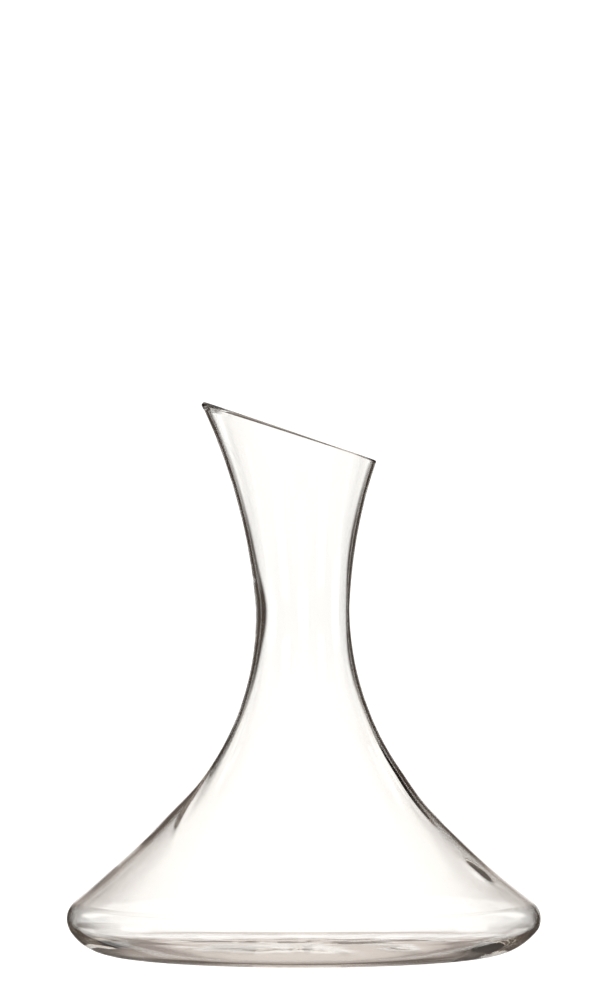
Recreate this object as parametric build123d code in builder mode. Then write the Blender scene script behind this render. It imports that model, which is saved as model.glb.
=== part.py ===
from build123d import *

import os
from math import atan2, cos, degrees, radians, sin

# A wine decanter: one piece of clear blown glass, with a wide flat bowl, a waisted neck and a slanted rim.
# The origin is on the axis, in the plane that the decanter stands on. +Z is up, and the pouring lip, the high
# point of the rim, is towards -X. Lengths are in millimetres and angles in degrees.

# The bowl.
widest_radius = 102.5
widest_height = 15.0
heel_round = 9.6  # the round edge of the bowl, seen in section
foot_radius = 82.0  # the outside of the flat ring that it stands on
foot_width = 3.0
punt_height = 1.5  # how far the middle of the underside is pushed up

# The wall above the bowl's widest place.
throat_radius = 20.3
throat_height = 147.2
waist_round = 120.0  # the hollow curve below the throat, seen in section
waist_turn = 42.6  # from the throat to where that curve gives way to a flatter one
throat_round = 60.0  # the short curve just above the throat
throat_turn = 3.9
flare_round = 235.0  # the long curve from there to the rim

# The slanted rim.
rim_height = 223.4  # where the slant crosses the axis
rim_slant = 18.35
lip_round = 0.6  # the fire-polished edge
blank_height = 262.0  # the neck's height before it is cut

# The glass.
wall = 2.3
floor_thickness = 3.4  # on the axis
floor_fall = 1.0  # how much lower the floor is at its outside than on the axis
floor_round = 5.0  # where the floor turns up into the wall

# The waist, the flatter curve below it and the heel are three tangent arcs. The centres of the first and the last
# are known, and so is the direction in which the first gives way, which leaves one radius for the arc between.
waist_x = throat_radius + waist_round
heel_x = widest_radius - heel_round
away_x = cos(radians(waist_turn))
away_z = sin(radians(waist_turn))
gap_x = waist_x - heel_x
gap_z = throat_height - widest_height
both = waist_round + heel_round
shift = (gap_x**2 + gap_z**2 - both**2) / (both - gap_x * away_x - gap_z * away_z) / 2
slope_round = waist_round + shift
slope_end = degrees(atan2(gap_z + shift * away_z, gap_x + shift * away_x))

# The underside is an arc that is level at the foot and tangent to the heel.
inset = heel_x - foot_radius
under_round = (inset**2 + widest_height**2 - heel_round**2) / (widest_height - heel_round) / 2
heel_end = degrees(atan2(under_round - widest_height, inset))


def side(depth):
    """Half of the vessel's section, closed along the axis, with every curve this deep inside the glass."""
    throat = (throat_radius - depth, throat_height)
    neck = JernArc(throat, (0, 1), throat_round + depth, -throat_turn)
    flare_start = neck @ 1
    flare_turn = degrees(atan2(blank_height - flare_start.Y, flare_round))
    flare = JernArc(flare_start, neck % 1, flare_round + depth, -flare_turn)
    waist = JernArc(throat, (0, -1), waist_round + depth, waist_turn)
    slope = JernArc(waist @ 1, waist % 1, slope_round + depth, slope_end - waist_turn)
    heel = JernArc(slope @ 1, slope % 1, heel_round - depth, -slope_end - heel_end)
    under = JernArc(heel @ 1, heel % 1, under_round - depth, heel_end - 90)
    Polyline(under @ 1, (0, depth), (0, (flare @ 1).Y), flare @ 1)


def dome(outside, top):
    """The space under a shallow dome: outside is the radius and height of its edge, top its height on the axis."""
    radius, height = outside
    rise = top - height
    crown = JernArc((0, top), (1, 0), (radius**2 + rise**2) / rise / 2, -2 * degrees(atan2(rise, radius)))
    Polyline(crown @ 1, (radius, -wall), (0, -wall), (0, top))


floor_top = punt_height + floor_thickness
rim = Plane(origin=(0, 0, rim_height), z_dir=(sin(radians(rim_slant)), 0, cos(radians(rim_slant))))

with BuildPart() as glass_vessel:
    # The solid outside.
    with BuildSketch(Plane.XZ):
        with BuildLine():
            side(0)
        make_face()
    revolve(axis=Axis.Z)

    # The space inside, down to a floor that is thicker than the wall and slightly domed.
    with BuildSketch(Plane.XZ):
        with BuildLine():
            side(wall)
        make_face()
        with BuildLine():
            dome((widest_radius, floor_top - floor_fall), floor_top)
        make_face(mode=Mode.SUBTRACT)
    revolve(axis=Axis.Z, mode=Mode.SUBTRACT)
    corner = glass_vessel.edges(Select.LAST).filter_by(GeomType.CIRCLE).sort_by(Axis.Z)[0]
    fillet(corner, radius=floor_round)

    # The hollow under the base, which leaves a flat ring to stand on.
    with BuildSketch(Plane.XZ):
        with BuildLine():
            dome((foot_radius - foot_width, 0), punt_height)
        make_face()
    revolve(axis=Axis.Z, mode=Mode.SUBTRACT)

    # The mouth, cut on a slant and rounded.
    split(bisect_by=rim, keep=Keep.BOTTOM)
    lip = glass_vessel.faces().filter_by(rim)
    fillet(lip.edges(), radius=lip_round)

glass_vessel.part.label = "glass_vessel"

os.makedirs("parts", exist_ok=True)
export_step(glass_vessel.part, "parts/glass_vessel.step")

box = glass_vessel.part.bounding_box()
print("from", box.min, "to", box.max)
print("slope arc", slope_round, "under arc", under_round)
print("glass, cm3", glass_vessel.part.volume / 1000)
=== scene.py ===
"""The looks of a glass wine decanter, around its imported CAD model. Lengths below are in millimetres unless
a name says otherwise, and the mesh is in metres. The frame is the CAD model's: +Z up, the pouring lip
towards -X."""

import math

import bpy
import numpy as np
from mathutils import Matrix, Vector, noise


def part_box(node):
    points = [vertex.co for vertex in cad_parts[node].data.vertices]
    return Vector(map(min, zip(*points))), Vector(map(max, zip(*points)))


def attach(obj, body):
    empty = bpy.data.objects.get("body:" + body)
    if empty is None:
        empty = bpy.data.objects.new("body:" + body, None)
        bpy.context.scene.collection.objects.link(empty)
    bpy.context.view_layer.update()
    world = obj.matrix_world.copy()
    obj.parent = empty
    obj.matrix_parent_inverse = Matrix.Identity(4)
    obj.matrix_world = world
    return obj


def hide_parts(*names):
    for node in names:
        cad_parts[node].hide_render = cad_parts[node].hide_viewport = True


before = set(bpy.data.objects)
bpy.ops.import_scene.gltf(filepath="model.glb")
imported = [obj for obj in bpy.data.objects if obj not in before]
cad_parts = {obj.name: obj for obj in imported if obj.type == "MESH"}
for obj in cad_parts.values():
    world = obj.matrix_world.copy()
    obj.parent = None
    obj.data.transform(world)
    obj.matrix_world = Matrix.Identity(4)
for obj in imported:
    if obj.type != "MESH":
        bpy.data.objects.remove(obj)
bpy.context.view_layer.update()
vessel_low, vessel_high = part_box("glass_vessel")

MM = 0.001

# ---- The vessel's outline, from the CAD model's box and its driving dimensions ----

WIDEST_RADIUS = (vessel_high.x - vessel_low.x) / 2 / MM
WIDEST_HEIGHT = 15.0
HEEL_ROUND = 9.6
FOOT_RADIUS = 82.0
FOOT_WIDTH = 3.0
PUNT_HEIGHT = 1.5
THROAT_RADIUS = 20.3
THROAT_HEIGHT = 147.2
WAIST_ROUND = 120.0
WAIST_TURN = math.radians(42.6)
THROAT_ROUND = 60.0
THROAT_TURN = math.radians(3.9)
FLARE_ROUND = 235.0
RIM_HEIGHT = 223.4
RIM_SLANT = math.radians(18.35)
RIM_TURN = math.radians(-2)  # how far the slant is turned from the -X direction
FLOOR_TOP = 4.9

# The fire-polished bead on the rim: its height, and the power that makes it fuller than a half ellipse.
LIP_HEIGHT = 1.0
LIP_FULLNESS = 0.8

# ---- What blowing by hand leaves ----

# The glass's thickness, and the heights between which it goes from one to the next.
FOOT_WALL = 2.4
HEEL_WALL = 1.7
SLOPE_WALL = 2.4
THROAT_WALL = 1.3
LIP_WALL = 1.5
FOOT_TO_HEEL = (3.0, 13.0)
HEEL_TO_SLOPE = (15.0, 50.0)
SLOPE_TO_THROAT = (30.0, 100.0)
THROAT_TO_LIP = (160.0, 225.0)

# A swell at the throat: its middle height and half height, how much thicker the wall is there all round, and
# how much more than that it is towards the lip.
SWELL_HEIGHT = 148.0
SWELL_TALL = 16.0
SWELL_ROUND = 0.1
SWELL_TO_LIP = 0.45

# The slope's wall is thicker on the lip's side and thinner on the other.
UNEVEN_HEIGHT = 55.0
UNEVEN_TALL = 20.0
UNEVEN = 0.3

# Places where the wall is thinner: each one's middle height and half height, its middle angle round the axis
# and half its width as an angle, how far it twists round for each millimetre of height, and its depth.
PRESSED = (37.3, 3.7, math.radians(-23.5), math.radians(3), 0.0, 0.52)
FOLD_BY_LIP = (65.0, 9.0, math.radians(-158), math.radians(2.2), math.radians(-0.9), 0.4)
FOLD_AWAY = (73.0, 12.0, math.radians(-22), math.radians(2.2), 0.0, 0.4)

# The slope stands a little further in than its arc, between these pairs of heights.
TUCK = 0.2
TUCK_STARTS = (38.0, 52.0)
TUCK_ENDS = (68.0, 80.0)

# The vessel's middle isn't quite on the axis: the neck's root and the heel stand off it, away from the lip,
# and the whole vessel leans towards the lip.
NECK_SHIFT = 1.25
NECK_SHIFT_STARTS = (58.0, 79.0)
NECK_SHIFT_ENDS = (85.0, 215.0)
HEEL_SHIFT = 0.72
HEEL_SHIFT_STARTS = (2.0, 13.0)
HEEL_SHIFT_ENDS = (20.0, 40.0)
LEAN = 0.0035  # for each millimetre of height

# Ripples in the floor's upper surface: each one's size across, its height, and its place in the noise.
RIPPLES = ((22.0, 0.25, 3.1), (9.0, 0.10, 7.7))
RIPPLE_ENDS = (70.0, 88.0)  # the radii between which they fade out

# ---- The mesh's fineness ----

COLUMNS = 264
UNDER_ROWS = 12
OUTER_HEEL_ROWS = 24
INNER_HEEL_ROWS = 26
SLOPE_ROWS = 30
WAIST_ROWS = 36
THROAT_ROWS = 3
FLARE_ROWS = 36
LIP_ROWS = 12
FLOOR_ROWS = 56
PUNT_ROWS = 14
FLARE_LIMIT = 0.6  # an angle up the flare's arc, in radians, that is past the rim all the way round
HALVINGS = 40  # steps of the search for the rim along that arc


def tangent_chain():
    """The centres and ends of the arcs that make the wall, each tangent to the next, as in the CAD model."""
    waist_x = THROAT_RADIUS + WAIST_ROUND
    heel_x = WIDEST_RADIUS - HEEL_ROUND
    away = np.array([math.cos(WAIST_TURN), math.sin(WAIST_TURN)])
    gap = np.array([waist_x - heel_x, THROAT_HEIGHT - WIDEST_HEIGHT])
    both = WAIST_ROUND + HEEL_ROUND
    shift = (gap @ gap - both**2) / (both - gap @ away) / 2
    slope_centre = np.array([waist_x, THROAT_HEIGHT]) + shift * away
    slope_end = math.atan2(*(slope_centre - (heel_x, WIDEST_HEIGHT))[::-1])
    inset = heel_x - FOOT_RADIUS
    under_round = (inset**2 + WIDEST_HEIGHT**2 - HEEL_ROUND**2) / (WIDEST_HEIGHT - HEEL_ROUND) / 2
    flare_shift = FLARE_ROUND - THROAT_ROUND
    return {
        "under": ((FOOT_RADIUS, under_round), under_round),
        "heel": ((heel_x, WIDEST_HEIGHT), HEEL_ROUND),
        "heel_end": math.atan2(under_round - WIDEST_HEIGHT, inset),
        "slope": (tuple(slope_centre), WAIST_ROUND + shift),
        "slope_end": slope_end,
        "waist": ((waist_x, THROAT_HEIGHT), WAIST_ROUND),
        "throat": ((THROAT_RADIUS + THROAT_ROUND, THROAT_HEIGHT), THROAT_ROUND),
        "flare": ((THROAT_RADIUS + THROAT_ROUND + flare_shift * math.cos(THROAT_TURN),
                   THROAT_HEIGHT - flare_shift * math.sin(THROAT_TURN)), FLARE_ROUND),
    }


CHAIN = tangent_chain()
AROUND = np.arange(COLUMNS) * 2 * math.pi / COLUMNS


def arc(name, start, end, count, skip_first=True):
    """Rows of (radius, height, outward normal's radius and height) along one arc, alike at every column."""
    (x, z), radius = CHAIN[name]
    angles = np.linspace(start, end, count + 1)[1 if skip_first else 0:]
    rows = np.empty((len(angles), COLUMNS, 4))
    outward = -1 if name in ("slope", "waist", "throat") else 1
    for row, angle in zip(rows, angles):
        row[:] = (x + radius * math.cos(angle), z + radius * math.sin(angle),
                  outward * math.cos(angle), outward * math.sin(angle))
    return rows


def flare_rows(count, below):
    """Rows up the flare from the throat's arc to the slanted rim, stopping a distance below the rim."""
    (x, z), radius = CHAIN["flare"]
    low = np.full(COLUMNS, THROAT_TURN)
    high = np.full(COLUMNS, FLARE_LIMIT)
    away = np.cos(AROUND - RIM_TURN)  # how far each column faces away from the lip
    for _ in range(HALVINGS):
        middle = (low + high) / 2
        r = x - radius * np.cos(middle)
        over = (z + radius * np.sin(middle)) * math.cos(RIM_SLANT) + r * away * math.sin(RIM_SLANT)
        over -= RIM_HEIGHT * math.cos(RIM_SLANT) - below
        low = np.where(over < 0, middle, low)
        high = np.where(over < 0, high, middle)
    share = np.linspace(0, 1, count + 1)[1:, None]
    angle = THROAT_TURN + (low - THROAT_TURN) * share
    across, up = np.cos(angle), np.sin(angle)
    return np.stack([x - radius * across, z + radius * up, across, -up], axis=2)


def wall_rows(heel_rows, skip_first):
    """Rows up the outside of the wall, from the foot to just below the rim."""
    up = math.pi
    return np.concatenate([
        arc("under", -math.pi / 2, -CHAIN["heel_end"], UNDER_ROWS, skip_first),
        arc("heel", -CHAIN["heel_end"], CHAIN["slope_end"], heel_rows),
        arc("slope", up + CHAIN["slope_end"], up + WAIST_TURN, SLOPE_ROWS),
        arc("waist", up + WAIST_TURN, up, WAIST_ROWS),
        arc("throat", up, up - THROAT_TURN, THROAT_ROWS),
        flare_rows(FLARE_ROWS, LIP_HEIGHT),
    ])


def smooth(low, high, value):
    """From 0 at the low value to 1 at the high one, with soft ends."""
    t = np.clip((value - low) / (high - low), 0, 1)
    return t * t * (3 - 2 * t)


def bell(value, middle, half_width):
    return np.exp(-((value - middle) / half_width) ** 2)


def thinning(height, around, middle, tall, turned, wide, twist, depth):
    """How much glass one of the thinner places takes from the wall."""
    across = around - turned - twist * (height - middle)
    across = (across + math.pi) % (2 * math.pi) - math.pi
    return depth * np.exp(-((height - middle) / tall) ** 2 - (across / wide) ** 2)


def wall_at(height, around):
    """The glass's thickness at a height and an angle round the axis: blown glass is never quite even."""
    wall = FOOT_WALL + (HEEL_WALL - FOOT_WALL) * smooth(*FOOT_TO_HEEL, height)
    wall += (SLOPE_WALL - HEEL_WALL) * smooth(*HEEL_TO_SLOPE, height)
    wall += (THROAT_WALL - SLOPE_WALL) * smooth(*SLOPE_TO_THROAT, height)
    wall += (LIP_WALL - THROAT_WALL) * smooth(*THROAT_TO_LIP, height)
    wall += bell(height, SWELL_HEIGHT, SWELL_TALL) * (SWELL_ROUND - SWELL_TO_LIP * np.cos(around))
    for place in (PRESSED, FOLD_BY_LIP, FOLD_AWAY):
        wall -= thinning(height, around, *place)
    return wall - UNEVEN * bell(height, UNEVEN_HEIGHT, UNEVEN_TALL) * np.cos(around)


def fullness(height):
    """How much further out than the arcs the glass stands, inside and outside alike, in millimetres."""
    return -TUCK * smooth(*TUCK_STARTS, height) * (1 - smooth(*TUCK_ENDS, height))


def drift(height):
    """How far the vessel's middle lies from the axis at each height, towards +X: it was made by hand."""
    neck = NECK_SHIFT * smooth(*NECK_SHIFT_STARTS, height) * (1 - smooth(*NECK_SHIFT_ENDS, height))
    heel = HEEL_SHIFT * smooth(*HEEL_SHIFT_STARTS, height) * (1 - smooth(*HEEL_SHIFT_ENDS, height))
    return neck + heel - LEAN * height


def inner_rows():
    """The inside, from the lip down to the floor's edge: the outside moved in by the wall's thickness."""
    rows = wall_rows(INNER_HEEL_ROWS, skip_first=False)
    depth = wall_at(rows[..., 1], AROUND[None, :])
    rows[..., 0] -= depth * rows[..., 2]
    rows[..., 1] -= depth * rows[..., 3]
    return rows[::-1]


def as_points(rows):
    """Rows of (radius, height) as points in millimetres."""
    rows[..., 0] += fullness(rows[..., 1])
    return np.stack([rows[..., 0] * np.cos(AROUND), rows[..., 0] * np.sin(AROUND), rows[..., 1]], axis=2)


def lip_rows(outer, inner, count):
    """The fire-polished edge between the ends of the two walls: a bead standing on the slanted cut."""
    normal = np.array([math.sin(RIM_SLANT) * math.cos(RIM_TURN), math.sin(RIM_SLANT) * math.sin(RIM_TURN),
                       math.cos(RIM_SLANT)])
    middle, half = (outer + inner) / 2, (outer - inner) / 2
    rows = []
    for turn in np.linspace(0, math.pi, count + 2)[1:-1]:
        across = math.copysign(abs(math.cos(turn)) ** LIP_FULLNESS, math.cos(turn))
        rise = LIP_HEIGHT * math.sin(turn) ** LIP_FULLNESS
        rows.append(middle + half * across + normal * rise)
    return np.array(rows)


def disc_rows(edge_radius, edge_height, top, count, ripple=None):
    """Rows from a round edge in to the axis over a shallow dome, without the centre point."""
    rows = []
    rise = top - edge_height
    for share in np.linspace(1, 0, count + 1)[1:-1]:
        r = edge_radius * share
        z = edge_height + rise * (1 - share**2) ** 2
        row = np.stack([r * np.cos(AROUND), r * np.sin(AROUND), np.full(COLUMNS, z)], axis=1)
        if ripple:
            for point in row:
                point[2] += ripple(point[0], point[1])
        rows.append(row)
    return np.array(rows)


def floor_ripple(x, y):
    """Shallow unevenness in the floor's upper surface, as left by the blowing, fading out at its edge."""
    fade = 1 - smooth(*RIPPLE_ENDS, math.hypot(x, y))
    ripples = (height * noise.noise(Vector((x / size, y / size, place))) for size, height, place in RIPPLES)
    return fade * sum(ripples)


def vessel_rings():
    """Every ring of points, from the middle of the underside out, up, over the lip and down to the floor."""
    outer = as_points(wall_rows(OUTER_HEEL_ROWS, skip_first=True))
    inner = as_points(inner_rows())
    lip = lip_rows(outer[-1], inner[0], LIP_ROWS)
    floor_edge = inner[-1]
    floor_radius = float(np.hypot(floor_edge[0, 0], floor_edge[0, 1]))
    floor_height = float(floor_edge[0, 2])
    floor = disc_rows(floor_radius, floor_height, FLOOR_TOP, FLOOR_ROWS, floor_ripple)
    foot = np.stack([np.cos(AROUND) * FOOT_RADIUS, np.sin(AROUND) * FOOT_RADIUS, np.zeros(COLUMNS)], axis=1)
    foot_inside = foot * (FOOT_RADIUS - FOOT_WIDTH) / FOOT_RADIUS
    punt = disc_rows(FOOT_RADIUS - FOOT_WIDTH, 0, PUNT_HEIGHT, PUNT_ROWS)[::-1]
    return np.concatenate([punt, foot_inside[None], foot[None], outer, lip, inner, floor])


def build_vessel():
    rings = vessel_rings()
    points = rings.reshape(-1, 3)
    verts = np.vstack([points, [[0, 0, PUNT_HEIGHT], [0, 0, FLOOR_TOP + floor_ripple(0, 0)]]])
    verts[:, 0] += drift(verts[:, 2])
    verts *= MM
    faces = []
    for row in range(len(rings) - 1):
        for column in range(COLUMNS):
            following = (column + 1) % COLUMNS
            a, b = row * COLUMNS + column, row * COLUMNS + following
            faces.append((a, b, b + COLUMNS, a + COLUMNS))
    bottom, top = len(points), len(points) + 1
    last = len(points) - COLUMNS
    for column in range(COLUMNS):
        following = (column + 1) % COLUMNS
        faces.append((bottom, following, column))
        faces.append((top, last + column, last + following))
    mesh = bpy.data.meshes.new("decanter_glass")
    mesh.from_pydata(verts.tolist(), [], faces)
    mesh.validate()
    mesh.update()
    mesh.shade_smooth()
    vessel = bpy.data.objects.new("decanter_glass", mesh)
    bpy.context.scene.collection.objects.link(vessel)
    return vessel


# ---- The glass ----

GLASS_INDEX = 1.52
GLASS_TINT = (0.90, 0.86, 0.80, 1)
GLASS_DENSITY = 6.0  # per metre
WAVE_SCALE = 55.0  # waves per metre in the blown surface
WAVE_DETAIL = 1
WAVE_DEPTH_M = 0.0002
WAVE_STRENGTH = 0.25
WIPE_SCALE = 25.0  # the faint uneven haze that handling leaves, in patches per metre
WIPE_DETAIL = 3
WIPE_FROM = 0.4  # the noise's value below which the glass is clean
WIPE_TO = 0.75  # and above which the haze is full
WIPE_ROUGHNESS = 0.015


def glass_material():
    material = bpy.data.materials.new("clear_glass")
    material.use_nodes = True
    nodes, links = material.node_tree.nodes, material.node_tree.links
    shader = nodes["Principled BSDF"]
    shader.inputs["Base Color"].default_value = (1, 1, 1, 1)
    shader.inputs["Transmission Weight"].default_value = 1
    shader.inputs["IOR"].default_value = GLASS_INDEX
    place = nodes.new("ShaderNodeTexCoord").outputs["Object"]

    wipe = nodes.new("ShaderNodeTexNoise")
    wipe.inputs["Scale"].default_value = WIPE_SCALE
    wipe.inputs["Detail"].default_value = WIPE_DETAIL
    links.new(place, wipe.inputs["Vector"])
    haze = nodes.new("ShaderNodeMapRange")
    haze.inputs["From Min"].default_value = WIPE_FROM
    haze.inputs["From Max"].default_value = WIPE_TO
    haze.inputs["To Max"].default_value = WIPE_ROUGHNESS
    links.new(wipe.outputs["Fac"], haze.inputs["Value"])
    links.new(haze.outputs["Result"], shader.inputs["Roughness"])

    wave = nodes.new("ShaderNodeTexNoise")
    wave.inputs["Scale"].default_value = WAVE_SCALE
    wave.inputs["Detail"].default_value = WAVE_DETAIL
    links.new(place, wave.inputs["Vector"])
    bump = nodes.new("ShaderNodeBump")
    bump.inputs["Strength"].default_value = WAVE_STRENGTH
    bump.inputs["Distance"].default_value = WAVE_DEPTH_M
    links.new(wave.outputs["Fac"], bump.inputs["Height"])
    links.new(bump.outputs["Normal"], shader.inputs["Normal"])

    absorption = nodes.new("ShaderNodeVolumeAbsorption")
    absorption.inputs["Color"].default_value = GLASS_TINT
    absorption.inputs["Density"].default_value = GLASS_DENSITY
    links.new(absorption.outputs["Volume"], nodes["Material Output"].inputs["Volume"])
    return material


# ---- The studio ----

PANEL = (1.18, 1.165, 1.13, 1)
DARK = (0.057, 0.042, 0.032, 1)
DIM = (0.10, 0.084, 0.072, 1)
SHADE = (0.64, 0.57, 0.52, 1)
GREY = (0.50, 0.432, 0.386, 1)
MIDDLE = (0.62, 0.543, 0.493, 1)
PALE = (0.92, 0.86, 0.79, 1)
BRIGHT = (1.0, 0.955, 0.89, 1)
BACKDROP = (1.2, 1.2, 1.2, 1)
PANELS_APART = 90  # degrees
FLAG_SLANT = 0.6  # how fast the top of the dark flags rises away from each panel

# What stands round the glass, from the back to the front, over a dark ground: its colour and its soft edges.
# An edge is an angle's name, and where it goes from off to on, in degrees. Rise is a direction's height over
# the horizon, aside is how far it is turned from the middle of the nearest panel, and over_flags is its
# height over the slanting top of the flags, which are what is left of the dark ground.
STUDIO = (
    (GREY, ("over_flags", -2, 9)),  # the room above the flags
    (PALE, ("aside", 35, 40), ("rise", 8, 13)),  # pale above the corners
    (MIDDLE, ("aside", 12.5, 9.5), ("rise", 4, 7)),  # the wall above each panel
    (BRIGHT, ("rise", 30, 50)),  # the ceiling
    (DIM, ("aside", 31, 25), ("rise", -6, -12)),  # the low flags
    (GREY, ("rise", -16, -46)),  # the table's far part
    (BRIGHT, ("rise", -46, -64)),  # the table, lit, under the glass
    (SHADE, ("aside", 4, 2), ("rise", -42, -32), ("rise", 0, -10)),  # a strip below the middle of each panel
    (DARK, ("aside", 15, 10), ("rise", -40, -37), ("rise", -28, -31)),  # a bar, the line along the base
    (PANEL, ("aside", 34, 38), ("rise", -42, -36), ("rise", -8, -13)),  # a lower panel in each corner
    (PANEL, ("aside", 12, 8), ("rise", -13, -8.5), ("rise", 9, 4)),  # the upright panels
)


def build_world():
    world = bpy.data.worlds.new("studio")
    bpy.context.scene.world = world
    world.use_nodes = True
    nodes, links = world.node_tree.nodes, world.node_tree.links
    nodes.clear()

    def math_node(operation, *values):
        node = nodes.new("ShaderNodeMath")
        node.operation = operation
        for socket, value in zip(node.inputs, values):
            if isinstance(value, (int, float)):
                socket.default_value = value
            else:
                links.new(value, socket)
        return node.outputs[0]

    def ramp(value, low, high, out_low, out_high):
        node = nodes.new("ShaderNodeMapRange")
        node.interpolation_type = "SMOOTHSTEP"
        links.new(value, node.inputs["Value"])
        numbers = {"From Min": low, "From Max": high, "To Min": out_low, "To Max": out_high}
        for name, number in numbers.items():
            node.inputs[name].default_value = number
        return node.outputs["Result"]

    def mix(factor, first, second):
        node = nodes.new("ShaderNodeMix")
        node.data_type = "RGBA"
        links.new(factor, node.inputs["Factor"])
        for socket, value in ((node.inputs[6], first), (node.inputs[7], second)):
            if isinstance(value, tuple):
                socket.default_value = value
            else:
                links.new(value, socket)
        return node.outputs[2]

    split = nodes.new("ShaderNodeSeparateXYZ")
    links.new(nodes.new("ShaderNodeTexCoord").outputs["Generated"], split.inputs[0])
    x, y, z = split.outputs
    rise = math_node("ARCSINE", z)
    aside = math_node("PINGPONG", math_node("ARCTAN2", y, x), math.radians(PANELS_APART / 2))
    over_flags = math_node("SUBTRACT", rise, math_node("MULTIPLY", aside, FLAG_SLANT))
    angles = {"rise": rise, "aside": aside, "over_flags": over_flags}

    def patch(edges):
        """The product of soft edges."""
        part = None
        for name, off, on in edges:
            off, on = math.radians(off), math.radians(on)
            edge = ramp(angles[name], off, on, 0, 1) if off < on else ramp(angles[name], on, off, 1, 0)
            part = edge if part is None else math_node("MULTIPLY", part, edge)
        return part

    around = DARK
    for colour, *edges in STUDIO:
        around = mix(patch(edges), around, colour)

    # The camera sees a plain white backdrop, and the glass sees the studio.
    background = nodes.new("ShaderNodeBackground")
    links.new(around, background.inputs["Color"])
    white = nodes.new("ShaderNodeBackground")
    white.inputs["Color"].default_value = BACKDROP
    path = nodes.new("ShaderNodeLightPath")
    choose = nodes.new("ShaderNodeMixShader")
    links.new(path.outputs["Is Camera Ray"], choose.inputs[0])
    links.new(background.outputs[0], choose.inputs[1])
    links.new(white.outputs[0], choose.inputs[2])
    output = nodes.new("ShaderNodeOutputWorld")
    links.new(choose.outputs[0], output.inputs["Surface"])


FLOOR_RADIUS_M = 0.5
FLOOR_SIDES = 96
FLOOR_BELOW_M = 0.0002
FLOOR_COLOUR = (0.8, 0.8, 0.8, 1)
FLOOR_ROUGHNESS = 0.9
FLOOR_GLOW = 1.0


def floor_material():
    """Pale to the camera, and clear to everything else, so that the glass is lit by the studio alone."""
    material = bpy.data.materials.new("pale_floor")
    material.use_nodes = True
    nodes, links = material.node_tree.nodes, material.node_tree.links
    shader = nodes["Principled BSDF"]
    shader.inputs["Base Color"].default_value = FLOOR_COLOUR
    shader.inputs["Roughness"].default_value = FLOOR_ROUGHNESS
    shader.inputs["Emission Color"].default_value = (1, 1, 1, 1)
    shader.inputs["Emission Strength"].default_value = FLOOR_GLOW
    path = nodes.new("ShaderNodeLightPath")
    through = nodes.new("ShaderNodeBsdfTransparent")
    choose = nodes.new("ShaderNodeMixShader")
    links.new(path.outputs["Is Camera Ray"], choose.inputs[0])
    links.new(through.outputs[0], choose.inputs[1])
    links.new(shader.outputs[0], choose.inputs[2])
    links.new(choose.outputs[0], nodes["Material Output"].inputs["Surface"])
    return material


def build_floor():
    turns = [2 * math.pi * side / FLOOR_SIDES for side in range(FLOOR_SIDES)]
    ring = [(FLOOR_RADIUS_M * math.cos(turn), FLOOR_RADIUS_M * math.sin(turn), 0) for turn in turns]
    mesh = bpy.data.meshes.new("floor")
    mesh.from_pydata(ring, [], [tuple(range(FLOOR_SIDES))])
    mesh.materials.append(floor_material())
    floor = bpy.data.objects.new("floor", mesh)
    bpy.context.scene.collection.objects.link(floor)
    floor.location.z = vessel_low.z - FLOOR_BELOW_M


# ---- The camera ----

CAMERA_DISTANCE_M = 2.426
CAMERA_HEIGHT_M = 0.1866
CAMERA_NEAR_M = 0.05
VIEW_ANGLE = math.radians(10.174)  # from the bottom of the picture to the top
LENS_UP = 0.0206  # the lens looks level, and is moved up by this share of the picture's height
LENS_ASIDE = -0.0023  # and this far to the side


def build_camera():
    camera = bpy.data.cameras.new("camera")
    camera.sensor_fit = "VERTICAL"
    camera.angle_y = VIEW_ANGLE
    camera.shift_x = LENS_ASIDE
    camera.shift_y = LENS_UP
    camera.clip_start = CAMERA_NEAR_M
    holder = bpy.data.objects.new("camera", camera)
    bpy.context.scene.collection.objects.link(holder)
    holder.location = (0, -CAMERA_DISTANCE_M, CAMERA_HEIGHT_M)
    holder.rotation_euler = (math.pi / 2, 0, 0)
    bpy.context.scene.camera = holder


# ---- How far light is followed ----

GLASS_BOUNCES = 96
INNER_REFLECTIONS = 56
CLEAR_BOUNCES = 16
DIFFUSE_BOUNCES = 4


def set_light_paths():
    scene = bpy.context.scene
    scene.view_settings.view_transform = "Standard"
    scene.cycles.max_bounces = GLASS_BOUNCES
    scene.cycles.transmission_bounces = GLASS_BOUNCES
    scene.cycles.glossy_bounces = INNER_REFLECTIONS
    scene.cycles.transparent_max_bounces = CLEAR_BOUNCES
    scene.cycles.diffuse_bounces = DIFFUSE_BOUNCES


build_world()
build_floor()
build_camera()
vessel = build_vessel()
vessel.data.materials.append(glass_material())
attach(vessel, "root")
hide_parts("glass_vessel")
set_light_paths()
